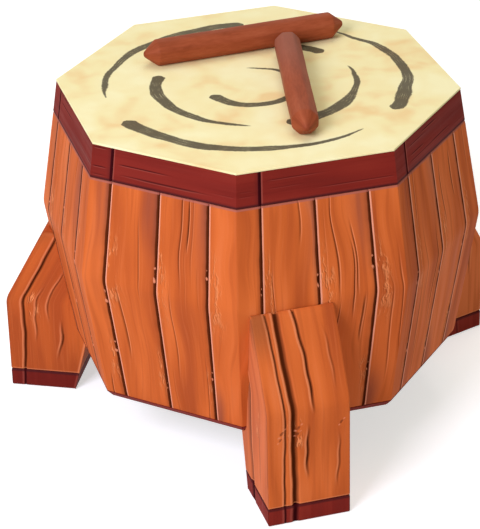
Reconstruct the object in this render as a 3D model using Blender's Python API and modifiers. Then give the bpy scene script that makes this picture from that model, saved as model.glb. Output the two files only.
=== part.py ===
"""Coopered floor drum with eight sides, three legs and a pair of beaters.

Staves are glued edge to edge into an eight-sided barrel that swells to its middle. A rim band is
let into a rebate round the top, a chamfered hoop closes the foot, and a flat hide is glued over
the stave ends and the band. Three legs are scribed to the barrel and pegged through the staves.
Units are metres, +Z is up, and the origin is on the floor at the centre of the footprint.
"""
import math
from collections import namedtuple

import bmesh
import bpy
from mathutils import Matrix, Vector

# Fits
CLEARANCE = 0.0003
ARRIS = 0.0012
FINE_ARRIS = 0.0006

# Barrel, with sizes across opposite corners, and heights from the floor or down from the head
SIDES = 8
STAVES_PER_SIDE = 3
JOINT_LEAD = 0.15
HEAD_ACROSS = 0.500
BAND_FLARE = 0.013
BULGE_ACROSS = 0.554
BASE_ACROSS = 0.498
HOOP_TAPER = 0.016
HEAD_HEIGHT = 0.433
BULGE_DROP = 0.1695
BAND_HEIGHT = 0.041
UNDER_CLEAR = 0.081
HOOP_REVEAL = 0.009
BEND_LENGTH = 0.036
BEND_STEPS = 3
STAVE_THICKNESS = 0.022
BAND_THICKNESS = 0.012
HIDE_THICKNESS = 0.003

# Hoops inside the barrel
HOOP_LIP = 0.020
HOOP_LIP_THICKNESS = 0.012
HEAD_HOOP_HEIGHT = 0.030
HEAD_HOOP_THICKNESS = 0.016

# Legs
REAR_LEG_SIDES = 2.5
REAR_LEG_TURN = 5.0
REAR_LEG_DROP = 0.028
LEG_WIDTH = 0.103
LEG_FOOT_DEPTH = 0.086
LEG_LEAN = 0.021
LEG_KNEE_HEIGHT = 0.158
LEG_TOP_DROP = 0.0055
LEG_TOP_EDGE = 0.002
SHOE_HEIGHT = 0.024
PEG_DIAMETER = 0.014
PEG_BITE = 0.025
PEG_RECESS = 0.001
LOWER_PEG_SHARE = 0.21
UPPER_PEG_SHARE = 0.65
REAR_PEG_STEP = 0.019
BORE_OVERRUN = 0.012
DOWEL_DIAMETER = 0.012
DOWEL_IN_SHOE = 0.014
DOWEL_IN_LEG = 0.030

# Beaters
BEATER_ACROSS = 0.035
BEATER_LENGTH = 0.272
BEATER_POINT = 0.020
BEATER_ARRIS = 0.0015
LONG_BEATER_ASIDE = 0.015
LONG_BEATER_BACK = 0.1005
LONG_BEATER_TURN = 2.6
CROSS_BEATER_TURN = 77.4
CROSS_BEATER_ALONG = 0.050

# Derived heights and shares
SIDE_ANGLE = 2 * math.pi / SIDES
FLAT = math.cos(SIDE_ANGLE / 2)
Z_BASE = UNDER_CLEAR + HOOP_REVEAL
Z_BULGE = HEAD_HEIGHT - BULGE_DROP
Z_RIM = HEAD_HEIGHT - HIDE_THICKNESS
Z_BAND = Z_RIM - BAND_HEIGHT
BAND_FOOT_ACROSS = HEAD_ACROSS + BAND_FLARE
HOOP_FOOT_ACROSS = BASE_ACROSS - HOOP_TAPER
WALL = STAVE_THICKNESS / FLAT
BAND_WALL = BAND_THICKNESS / FLAT
GAP = CLEARANCE / FLAT
LEG_TOP = Z_BULGE - LEG_TOP_DROP

# A leg's bearing from the axis, its own step to one side, its pegs' step from its centre line, and
# how much lower it ends than the front leg
Seat = namedtuple("Seat", "leg bearing offset peg_step drop")

STAVE_WOOD = ("stave_wood", (0.50, 0.16, 0.05), 0.55)
BAND_WOOD = ("band_wood", (0.17, 0.028, 0.022), 0.50)
HIDE = ("hide", (0.84, 0.74, 0.44), 0.75)
LEG_WOOD = ("leg_wood", (0.52, 0.17, 0.05), 0.55)
INNER_WOOD = ("inner_wood", (0.50, 0.31, 0.15), 0.70)
PEG_WOOD = ("peg_wood", (0.42, 0.25, 0.12), 0.65)
BEATER_WOOD = ("beater_wood", (0.36, 0.09, 0.04), 0.45)


def clear_scene():
    for old in list(bpy.data.objects):
        bpy.data.objects.remove(old, do_unlink=True)


def collection(name):
    made = bpy.data.collections.new(name)
    bpy.context.scene.collection.children.link(made)
    return made


def material(finish):
    name, colour, roughness = finish
    made = bpy.data.materials.get(name)
    if made is None:
        made = bpy.data.materials.new(name)
        made.use_nodes = True
        shader = made.node_tree.nodes["Principled BSDF"]
        shader.inputs["Base Color"].default_value = (*colour, 1.0)
        shader.inputs["Roughness"].default_value = roughness
        shader.inputs["Metallic"].default_value = 0.0
    return made


def add_part(name, mesh, finish, place=Matrix()):
    """A named part of the drum with its own copy of the finish, placed from the drum's axis."""
    shade = material(finish).copy()
    shade.name = name
    mesh.materials.clear()
    mesh.materials.append(shade)
    mesh.name = name
    part = bpy.data.objects.new(name, mesh)
    part.parent = AXIS
    part.matrix_basis = place
    DRUM.objects.link(part)
    return part


def add_cutter(name, mesh, place=Matrix()):
    tool = bpy.data.objects.new(name, mesh)
    tool.parent = AXIS
    tool.matrix_basis = place
    tool.hide_render = True
    tool.display_type = "WIRE"
    CUTTERS.objects.link(tool)
    return tool


def cut(part, tool):
    hole = part.modifiers.new("cut_" + tool.name, "BOOLEAN")
    hole.operation = "DIFFERENCE"
    hole.solver = "EXACT"
    hole.object = tool


def ease(part, width=ARRIS, limit=60, segments=1):
    """Take the sharp arrises off a part."""
    edge = part.modifiers.new("ease", "BEVEL")
    edge.width = width
    edge.segments = segments
    edge.limit_method = "ANGLE"
    edge.angle_limit = math.radians(limit)


def corner_radius(z):
    """Radius of the barrel's outer corner line at height z, before the bend is eased."""
    line = ((UNDER_CLEAR, HOOP_FOOT_ACROSS / 2), (Z_BASE, BASE_ACROSS / 2), (Z_BULGE, BULGE_ACROSS / 2),
            (Z_BAND, BAND_FOOT_ACROSS / 2), (Z_RIM, HEAD_ACROSS / 2))
    for (low, r_low), (high, r_high) in zip(line, line[1:]):
        if z <= high:
            return r_low + (r_high - r_low) * (z - low) / (high - low)
    return line[-1][1]


def bend(inset):
    """The stave's eased bend at the bulge, from above it to below it, set in by a wall."""
    above = Vector((corner_radius(Z_BULGE + BEND_LENGTH / 2), Z_BULGE + BEND_LENGTH / 2))
    below = Vector((corner_radius(Z_BULGE - BEND_LENGTH / 2), Z_BULGE - BEND_LENGTH / 2))
    peak = Vector((BULGE_ACROSS / 2, Z_BULGE))
    points = []
    for step in range(BEND_STEPS + 1):
        t = step / BEND_STEPS
        at = above * (1 - t) ** 2 + peak * 2 * t * (1 - t) + below * t ** 2
        points.append((at.x - inset, at.y))
    return points


def turned(name, profile, steps=SIDES, phase=SIDE_ANGLE / 2):
    """Mesh of a closed or axis-to-axis profile of (radius, height) carried round the axis."""
    outline = bpy.data.meshes.new(name)
    closed = profile[0][0] > 0
    count = len(profile)
    edges = [(i, (i + 1) % count) for i in range(count if closed else count - 1)]
    corners = [(r * math.cos(phase), r * math.sin(phase), z) for r, z in profile]
    outline.from_pydata(corners, edges, [])
    guide = bpy.data.objects.new(name + "_profile", outline)
    bpy.context.scene.collection.objects.link(guide)
    screw = guide.modifiers.new("turn", "SCREW")
    screw.steps = steps
    screw.render_steps = steps
    screw.use_merge_vertices = True
    screw.merge_threshold = 0.00001
    screw.use_smooth_shade = False
    bpy.context.view_layer.update()
    mesh = bpy.data.meshes.new_from_object(guide.evaluated_get(bpy.context.evaluated_depsgraph_get()))
    bpy.data.objects.remove(guide, do_unlink=True)
    return mesh


def sector(ring, name, start, end):
    """The part of a turned ring between two upright planes through the axis, closed at each."""
    work = bmesh.new()
    work.from_mesh(ring)
    for angle, side in ((start, -1), (end, 1)):
        normal = side * Vector((-math.sin(angle), math.cos(angle), 0))
        everything = work.verts[:] + work.edges[:] + work.faces[:]
        bmesh.ops.bisect_plane(work, geom=everything, dist=0.000001, plane_co=-normal * CLEARANCE / 2,
                               plane_no=normal, clear_outer=True)
        rim = [edge for edge in work.edges if edge.is_boundary]
        bmesh.ops.holes_fill(work, edges=rim, sides=0)
    bmesh.ops.recalc_face_normals(work, faces=work.faces[:])
    mesh = bpy.data.meshes.new(name)
    work.to_mesh(mesh)
    work.free()
    return mesh


def cylinder(name, radius, length, segments=16):
    """A rod along +Z from the origin."""
    work = bmesh.new()
    bmesh.ops.create_cone(work, cap_ends=True, segments=segments, radius1=radius, radius2=radius,
                          depth=length, matrix=Matrix.Translation((0, 0, length / 2)))
    mesh = bpy.data.meshes.new(name)
    work.to_mesh(mesh)
    work.free()
    return mesh


def board(name, outline, width):
    """A slab of the given width from an outline of (reach, height), upright and facing +X."""
    curve = bpy.data.curves.new(name, "CURVE")
    curve.dimensions = "2D"
    curve.fill_mode = "BOTH"
    curve.extrude = width / 2
    line = curve.splines.new("POLY")
    line.points.add(len(outline) - 1)
    for point, (reach, height) in zip(line.points, outline):
        point.co = (reach, height, 0, 1)
    line.use_cyclic_u = True
    guide = bpy.data.objects.new(name, curve)
    bpy.context.scene.collection.objects.link(guide)
    bpy.context.view_layer.update()
    mesh = bpy.data.meshes.new_from_object(guide.evaluated_get(bpy.context.evaluated_depsgraph_get()))
    bpy.data.objects.remove(guide, do_unlink=True)
    mesh.transform(Matrix.Rotation(math.pi / 2, 4, "X"))
    work = bmesh.new()
    work.from_mesh(mesh)
    bmesh.ops.remove_doubles(work, verts=work.verts[:], dist=0.00001)
    bmesh.ops.recalc_face_normals(work, faces=work.faces[:])
    work.to_mesh(mesh)
    work.free()
    return mesh


def leg_seats():
    """A tripod. The front leg stands square to its side, on the stave beside a corner. The others
    straddle the corners nearest to a third of a turn away, turned a little the same way, and end
    lower. Their pegs step across to the middle of the corner stave."""
    side = BULGE_ACROSS * math.sin(SIDE_ANGLE / 2)
    beside_corner = (JOINT_LEAD + 0.5 / STAVES_PER_SIDE - 0.5) * side
    front = -math.pi / 2
    spread = REAR_LEG_SIDES * SIDE_ANGLE
    turn = math.radians(REAR_LEG_TURN)
    return (Seat("front", front, beside_corner, 0.0, 0.0),
            Seat("right", front + spread - turn, 0.0, REAR_PEG_STEP, REAR_LEG_DROP),
            Seat("left", front - spread - turn, 0.0, REAR_PEG_STEP, REAR_LEG_DROP))


def peg_heights(seat):
    """A leg's pegs share out the height over which it lies against the staves."""
    rise = LEG_TOP - seat.drop - Z_BASE
    return {"lower": Z_BASE + LOWER_PEG_SHARE * rise, "upper": Z_BASE + UPPER_PEG_SHARE * rise}


def reach(seat, radius, step=0.0):
    """How far out along a leg's bearing, at a step from its centre line, the octagon's face is."""
    aside = seat.offset + step
    turns = [side * SIDE_ANGLE - seat.bearing for side in range(SIDES)]
    return min((radius * FLAT - aside * math.sin(turn)) / math.cos(turn)
               for turn in turns if math.cos(turn) > 0.5)


def crest(seat, radius):
    """The octagon's farthest reach over a leg's whole width, where a corner may stand out."""
    edges = [reach(seat, radius, side * LEG_WIDTH / 2) for side in (-1, 1)]
    turns = [(side + 0.5) * SIDE_ANGLE - seat.bearing for side in range(SIDES)]
    corners = [radius * math.cos(turn) for turn in turns
               if math.cos(turn) > 0 and abs(radius * math.sin(turn) - seat.offset) < LEG_WIDTH / 2]
    return max(edges + corners)


def on_seat(seat):
    """Turns +X outwards along a leg's bearing, then steps to its side."""
    return Matrix.Rotation(seat.bearing, 4, "Z") @ Matrix.Translation((0, seat.offset, 0))


def plan_centre():
    """Centre of the rectangle that the whole drum covers, seen from above, from the barrel's axis."""
    widest = max(radius for radius, height in bend(0))
    corners = [(side + 0.5) * SIDE_ANGLE for side in range(SIDES)]
    points = [widest * Vector((math.cos(angle), math.sin(angle), 0)) for angle in corners]
    for seat in leg_seats():
        face = reach(seat, BASE_ACROSS / 2) + LEG_FOOT_DEPTH
        points += [on_seat(seat) @ Vector((face, side * LEG_WIDTH / 2, 0)) for side in (-1, 1)]
    low = [min(point[axis] for point in points) for axis in range(3)]
    high = [max(point[axis] for point in points) for axis in range(3)]
    return (Vector(low) + Vector(high)) / 2


def stave_profile():
    seat = BAND_WALL + GAP
    outer = [(HEAD_ACROSS / 2 - seat, Z_RIM), (BAND_FOOT_ACROSS / 2 - seat, Z_BAND),
             (BAND_FOOT_ACROSS / 2, Z_BAND), *bend(0), (BASE_ACROSS / 2, Z_BASE + CLEARANCE)]
    inner = [(BASE_ACROSS / 2 - WALL, Z_BASE + CLEARANCE), *reversed(bend(WALL)),
             (HEAD_ACROSS / 2 - WALL, Z_RIM)]
    return outer + inner


def band_profile():
    return [(HEAD_ACROSS / 2, Z_RIM), (BAND_FOOT_ACROSS / 2, Z_BAND + CLEARANCE),
            (BAND_FOOT_ACROSS / 2 - BAND_WALL, Z_BAND + CLEARANCE), (HEAD_ACROSS / 2 - BAND_WALL, Z_RIM)]


def base_hoop_profile():
    lip_top = Z_BASE + HOOP_LIP
    seat = WALL + GAP
    inside = BASE_ACROSS / 2 - seat - HOOP_LIP_THICKNESS / FLAT
    return [(BASE_ACROSS / 2, Z_BASE), (HOOP_FOOT_ACROSS / 2, UNDER_CLEAR), (inside, UNDER_CLEAR),
            (inside, lip_top), (corner_radius(lip_top) - seat, lip_top), (BASE_ACROSS / 2 - seat, Z_BASE)]


def head_hoop_profile():
    low = Z_RIM - HEAD_HOOP_HEIGHT
    top_radius = HEAD_ACROSS / 2 - WALL - GAP
    low_radius = corner_radius(low) - WALL - GAP
    inside = min(top_radius, low_radius) - HEAD_HOOP_THICKNESS / FLAT
    return [(top_radius, Z_RIM), (low_radius, low), (inside, low), (inside, Z_RIM)]


def envelope_profile():
    """The barrel's outside, a clearance larger, for scribing the legs."""
    above = Z_BAND
    return [(0, above), (corner_radius(above) + GAP, above), *[(r + GAP, z) for r, z in bend(0)],
            (BASE_ACROSS / 2 + GAP, Z_BASE), (HOOP_FOOT_ACROSS / 2 + GAP, UNDER_CLEAR - CLEARANCE),
            (0, UNDER_CLEAR - CLEARANCE)]


def joint_angles():
    """Angles of the stave joints within a side, from that side's normal."""
    shares = [JOINT_LEAD + step / STAVES_PER_SIDE for step in range(STAVES_PER_SIDE)]
    return [math.atan((2 * share - 1) * math.tan(SIDE_ANGLE / 2)) for share in shares]


def peg(name, seat, height, slack=0.0, overrun=0.0):
    """A rod or its bore, level along a leg's bearing, from the stave's inner face into the leg."""
    outside = reach(seat, corner_radius(height), seat.peg_step)
    start = reach(seat, corner_radius(height) - WALL, seat.peg_step) + PEG_RECESS - overrun
    length = outside + PEG_BITE + slack - start
    level = Matrix.Translation((start, seat.peg_step, height)) @ Matrix.Rotation(math.pi / 2, 4, "Y")
    return cylinder(name, PEG_DIAMETER / 2 + slack, length), on_seat(seat) @ level


def dowel(name, seat, slack=0.0):
    """A rod or its bore, upright through the joint between a leg and its shoe."""
    middle = reach(seat, BASE_ACROSS / 2) + LEG_FOOT_DEPTH / 2
    low = SHOE_HEIGHT - DOWEL_IN_SHOE - slack
    length = DOWEL_IN_SHOE + DOWEL_IN_LEG + 2 * slack
    foot = Matrix.Translation((middle, 0, low))
    return cylinder(name, DOWEL_DIAMETER / 2 + slack, length), on_seat(seat) @ foot


def pegged(seat, start, end):
    """Whether any of a leg's pegs enters the stave between two angles about the axis."""
    out = reach(seat, BULGE_ACROSS / 2, seat.peg_step)
    sides = [seat.offset + seat.peg_step + side * PEG_DIAMETER for side in (-1, 1)]
    low, high = [seat.bearing + math.atan2(side, out) for side in sides]
    return (low - start) % (2 * math.pi) < end - start or (high - start) % (2 * math.pi) < end - start


def peg_cutters():
    """Each leg's two bores, which run on into the barrel so that they open its inner face."""
    return {seat.leg: [add_cutter(f"peg_bore_{seat.leg}_{row}",
                                  *peg("peg_bore", seat, height, CLEARANCE, BORE_OVERRUN))
                       for row, height in peg_heights(seat).items()] for seat in leg_seats()}


def build_barrel():
    stave_ring = turned("stave_ring", stave_profile())
    band_ring = turned("band_ring", band_profile())
    base_ring = turned("base_ring", base_hoop_profile())
    angles = joint_angles()
    number = 0
    for side in range(SIDES):
        normal = side * SIDE_ANGLE
        joints = [normal + angle for angle in angles] + [normal + SIDE_ANGLE + angles[0]]
        for start, end in zip(joints, joints[1:]):
            number += 1
            name = f"stave_{number:02d}"
            stave = add_part(name, sector(stave_ring, name, start, end), STAVE_WOOD)
            ease(stave)
            for seat in leg_seats():
                if pegged(seat, start, end):
                    for tool in PEG_BORES[seat.leg]:
                        cut(stave, tool)
        name = f"rim_band_{side + 1}"
        ease(add_part(name, sector(band_ring, name, joints[0], joints[-1]), BAND_WOOD), width=FINE_ARRIS)
        mitres = (normal - SIDE_ANGLE / 2, normal + SIDE_ANGLE / 2)
        name = f"base_hoop_{side + 1}"
        ease(add_part(name, sector(base_ring, name, *mitres), BAND_WOOD), width=FINE_ARRIS)
    add_part("head_hoop", turned("head_hoop", head_hoop_profile()), INNER_WOOD)


def build_hide():
    work = bmesh.new()
    thick = HIDE_THICKNESS - CLEARANCE
    middle = Matrix.Translation((0, 0, HEAD_HEIGHT - thick / 2))
    bmesh.ops.create_cone(work, cap_ends=True, segments=SIDES, radius1=HEAD_ACROSS / 2,
                          radius2=HEAD_ACROSS / 2, depth=thick,
                          matrix=middle @ Matrix.Rotation(SIDE_ANGLE / 2, 4, "Z"))
    mesh = bpy.data.meshes.new("hide_head")
    work.to_mesh(mesh)
    work.free()
    ease(add_part("hide_head", mesh, HIDE), width=FINE_ARRIS, segments=2)


def leg_outline(seat):
    """Side view of a leg above its shoe, as (reach, height)."""
    foot = reach(seat, BASE_ACROSS / 2)
    face = foot + LEG_FOOT_DEPTH
    low = SHOE_HEIGHT + CLEARANCE
    inside = foot - LEG_LEAN
    end = LEG_TOP - seat.drop
    top = crest(seat, corner_radius(end)) + LEG_TOP_EDGE
    return [(face, low), (face, LEG_KNEE_HEIGHT - seat.drop), (top, end), (inside, end),
            (inside, UNDER_CLEAR), (foot - LEG_LEAN * low / UNDER_CLEAR, low)]


def shoe_outline(seat):
    foot = reach(seat, BASE_ACROSS / 2)
    face = foot + LEG_FOOT_DEPTH
    return [(face, 0), (face, SHOE_HEIGHT), (foot - LEG_LEAN * SHOE_HEIGHT / UNDER_CLEAR, SHOE_HEIGHT),
            (foot, 0)]


def build_legs():
    scribe = add_cutter("barrel_envelope", turned("barrel_envelope", envelope_profile()))
    for seat in leg_seats():
        name = "leg_" + seat.leg
        leg = add_part(name, board(name, leg_outline(seat), LEG_WIDTH), LEG_WOOD, on_seat(seat))
        cut(leg, scribe)
        ease(leg, limit=25)
        shoe_name = "leg_shoe_" + seat.leg
        block = board(shoe_name, shoe_outline(seat), LEG_WIDTH)
        shoe = add_part(shoe_name, block, BAND_WOOD, on_seat(seat))
        ease(shoe)
        bore = add_cutter("dowel_bore_" + seat.leg, *dowel("dowel_bore", seat, CLEARANCE))
        cut(leg, bore)
        cut(shoe, bore)
        for tool in PEG_BORES[seat.leg]:
            cut(leg, tool)
        dowel_name = "shoe_dowel_" + seat.leg
        rod, place = dowel(dowel_name, seat)
        add_part(dowel_name, rod, PEG_WOOD, place)
        for row, height in peg_heights(seat).items():
            peg_name = f"leg_peg_{seat.leg}_{row}"
            rod, place = peg(peg_name, seat, height)
            add_part(peg_name, rod, PEG_WOOD, place)


def build_beaters():
    """Two eight-sided beaters that lie on the hide, the second with its point against the first."""
    half = BEATER_LENGTH / 2
    radius = BEATER_ACROSS / 2
    flat = radius * math.cos(math.pi / 8)
    profile = [(0, half), (radius, half - BEATER_POINT), (radius, BEATER_POINT - half), (0, -half)]
    lying = Matrix.Rotation(math.pi / 2, 4, "Y")
    height = HEAD_HEIGHT + CLEARANCE + flat
    turn = math.radians(LONG_BEATER_TURN)
    along = Vector((math.cos(turn), math.sin(turn), 0))
    across = Vector((math.sin(turn), -math.cos(turn), 0))
    first = Vector((LONG_BEATER_ASIDE, LONG_BEATER_BACK, height))
    touch = first + along * CROSS_BEATER_ALONG + across * (flat + CLEARANCE)
    turn_two = math.radians(CROSS_BEATER_TURN)
    second = touch - Vector((math.cos(turn_two), math.sin(turn_two), 0)) * half
    for name, place, angle in (("beater_long", first, turn), ("beater_cross", second, turn_two)):
        mesh = turned(name, profile, steps=8, phase=math.pi / 8)
        pose = Matrix.Translation(place) @ Matrix.Rotation(angle, 4, "Z") @ lying
        ease(add_part(name, mesh, BEATER_WOOD, pose), width=BEATER_ARRIS, limit=25)


clear_scene()
DRUM = collection("floor_drum")
CUTTERS = collection("cutters")
AXIS = bpy.data.objects.new("barrel_axis", None)
AXIS.location = -plan_centre()
DRUM.objects.link(AXIS)
PEG_BORES = peg_cutters()
build_barrel()
build_hide()
build_legs()
build_beaters()
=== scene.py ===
"""Looks of a coopered floor drum: stained staves, a red rim band, a brushed hide, legs and beaters.

The sections follow the drum as a cooper puts it together, from the staves to the beaters that lie
on its head. Lengths are in metres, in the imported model's own frame.
"""
import math

import bmesh
import bpy
import numpy as np
from mathutils import Matrix, Vector


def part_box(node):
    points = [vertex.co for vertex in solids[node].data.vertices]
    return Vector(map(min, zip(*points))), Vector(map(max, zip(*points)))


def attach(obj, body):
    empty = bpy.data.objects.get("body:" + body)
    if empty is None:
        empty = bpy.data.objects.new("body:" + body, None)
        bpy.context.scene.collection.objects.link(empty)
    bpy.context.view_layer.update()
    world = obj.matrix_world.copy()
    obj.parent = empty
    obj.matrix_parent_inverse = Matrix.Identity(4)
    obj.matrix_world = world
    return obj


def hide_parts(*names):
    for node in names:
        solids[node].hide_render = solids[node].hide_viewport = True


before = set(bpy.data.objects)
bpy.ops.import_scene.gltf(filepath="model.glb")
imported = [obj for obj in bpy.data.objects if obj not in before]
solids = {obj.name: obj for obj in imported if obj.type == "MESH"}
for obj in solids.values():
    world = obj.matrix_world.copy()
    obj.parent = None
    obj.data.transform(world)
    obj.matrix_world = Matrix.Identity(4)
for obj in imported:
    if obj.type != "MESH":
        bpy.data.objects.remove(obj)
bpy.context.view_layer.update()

# Staves
# Twenty-four softwood staves, three to a side, are planed to a bevel and glued edge to edge. They
# bend at the bulge, are cut back at the top for the rim band, and are stained orange. Drying has
# opened long cracks in them, and knocks have chipped their edges.
SIDE_ANGLE = math.radians(45)
FLAT = math.cos(SIDE_ANGLE / 2)
STAVES_PER_SIDE = 3
JOINT_LEAD = 0.15
CLEARANCE = 0.0003
FOOT_EDGE = (0.081, 0.241)
BARREL_FOOT = (0.090, 0.249)
BULGE = (0.2635, 0.277)
BAND_FOOT = (0.389, 0.2565)
BARREL_RIM = (0.430, 0.250)
BEND_LENGTH = 0.012
BEND_STEPS = 6
STAVE_WALL = 0.022 / FLAT
BAND_WALL = 0.012 / FLAT
STAVE_ROW = 0.0032
STAVE_ARRIS = 0.0013
SIDE_WIDTH = 0.206
BORE_OVERRUN = 0.012
SEED_STEP = 1000
PEGGED_STAVES = {"stave_03": "right", "stave_12": "left", "stave_19": "front"}
LEG_BEARINGS = {"front": -90.0, "right": 17.5, "left": 152.5}

low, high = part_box("hide_head")
axis = Vector(((low.x + high.x) / 2, (low.y + high.y) / 2, 0))


class Value:
    """A node's output to reckon with as a number. Each step of a sum adds a node to its tree."""

    def __init__(self, socket):
        self.socket = socket
        self.tree = socket.id_data

    def __add__(self, other):
        return calc("ADD", self, other)

    def __sub__(self, other):
        return calc("SUBTRACT", self, other)

    def __rsub__(self, other):
        return calc("SUBTRACT", other, self)

    def __mul__(self, other):
        return calc("MULTIPLY", self, other)

    def __truediv__(self, other):
        return calc("DIVIDE", self, other)

    def __lt__(self, other):
        return calc("LESS_THAN", self, other)

    def __gt__(self, other):
        return calc("GREATER_THAN", self, other)

    def __abs__(self):
        return calc("ABSOLUTE", self)


def tree_of(*values):
    """The tree of the first value that is a node's output."""
    return next(value.tree for value in values if isinstance(value, Value))


def set_input(socket, value):
    """Link an input to a node's output, set it, or leave it as it is for None."""
    if isinstance(value, Value):
        value.tree.links.new(value.socket, socket)
    elif value is not None:
        socket.default_value = value


def add_node(tree, kind, *values, **settings):
    """A node with its settings and with its inputs in order."""
    made = tree.nodes.new(kind)
    for name, value in settings.items():
        setattr(made, name, value)
    for socket, value in zip([each for each in made.inputs if each.enabled], values):
        set_input(socket, value)
    return made


def outputs(node):
    return {socket.name: Value(socket) for socket in node.outputs}


def out(node):
    """The first output in use."""
    return Value(next(socket for socket in node.outputs if socket.enabled))


def calc(operation, *values):
    return out(add_node(tree_of(*values), "ShaderNodeMath", *values, operation=operation))


def larger(value, *others):
    for other in others:
        value = calc("MAXIMUM", value, other)
    return value


def length(x, y):
    return calc("SQRT", x * x + y * y)


def ramp_to(value, start, end, low=0.0, high=1.0):
    """Value eased from low at start to high at end."""
    return out(add_node(value.tree, "ShaderNodeMapRange", value, start, end, low, high,
                        interpolation_type="SMOOTHSTEP"))


def mix(share, first, second, kind="FLOAT"):
    """The first value where the share is 0, the second where it is 1."""
    return out(add_node(share.tree, "ShaderNodeMix", share, first, second, data_type=kind))


def draw(low, high, which, seed):
    return out(add_node(seed.tree, "FunctionNodeRandomValue", low, high, which, seed, data_type="FLOAT"))


def draw_once(low, high, number, seed):
    """One random value for a whole board, told apart from its others by a number."""
    return draw(low, high, out(add_node(seed.tree, "FunctionNodeInputInt", integer=number)), seed)


def shifted_seed(seed, step):
    return out(add_node(seed.tree, "FunctionNodeIntegerMath", seed, step, operation="ADD"))


def join(x, y, z):
    return out(add_node(tree_of(x, y, z), "ShaderNodeCombineXYZ", x, y, z))


def parts(vector):
    """A vector's three numbers."""
    return list(outputs(add_node(vector.tree, "ShaderNodeSeparateXYZ", vector)).values())


def vector_sum(operation, first, second):
    return out(add_node(first.tree, "ShaderNodeVectorMath", first, second, operation=operation))


def noise(vector, scale=1.0, detail=2.0, rough=0.5, distortion=0.0):
    return out(add_node(vector.tree, "ShaderNodeTexNoise", vector, scale, detail, rough, None, distortion))


def new_group(name, kind, inputs, results):
    """A node group with named sockets, what it is given, and the sockets for what it makes."""
    tree = bpy.data.node_groups.new(name, kind)
    for side, sockets in (("INPUT", inputs), ("OUTPUT", results)):
        for socket_name, socket_type, *default in sockets:
            socket = tree.interface.new_socket(socket_name, in_out=side,
                                               socket_type="NodeSocket" + socket_type)
            if default:
                socket.default_value = default[0]
    return tree, outputs(tree.nodes.new("NodeGroupInput")), tree.nodes.new("NodeGroupOutput").inputs


def use_group(group, **values):
    """A group placed in a tree, with its inputs by name, an underscore for each space."""
    kind = "GeometryNodeGroup" if group.bl_idname == "GeometryNodeTree" else "ShaderNodeGroup"
    made = add_node(tree_of(*values.values()), kind, node_tree=group)
    for name, value in values.items():
        set_input(made.inputs[name.replace("_", " ")], value)
    return outputs(made)


def crack_tree():
    """How open the wood is at a point of one grain line: most lines are sound, some are cracked."""
    tree, given, made = new_group("grain_crack", "GeometryNodeTree", (
        ("Line", "Int"), ("Along", "Float"), ("Low", "Float"), ("High", "Float"), ("Share", "Float"),
        ("Length", "Float"), ("Seed", "Int")), (("Open", "Float"),))

    seeds = [shifted_seed(given["Seed"], number * SEED_STEP) for number in range(4)]
    cracked = draw(0.0, 1.0, given["Line"], seeds[0]) < given["Share"]
    middle = draw(given["Low"], given["High"], given["Line"], seeds[1])
    half = draw(0.30, 1.0, given["Line"], seeds[2]) * given["Length"]
    taper = ramp_to(1.0 - abs(given["Along"] - middle) / half, 0.0, 0.7)
    strength = draw(0.15, 1.0, given["Line"], seeds[3])
    set_input(made["Open"], taper * strength * cracked)
    return tree


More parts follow.
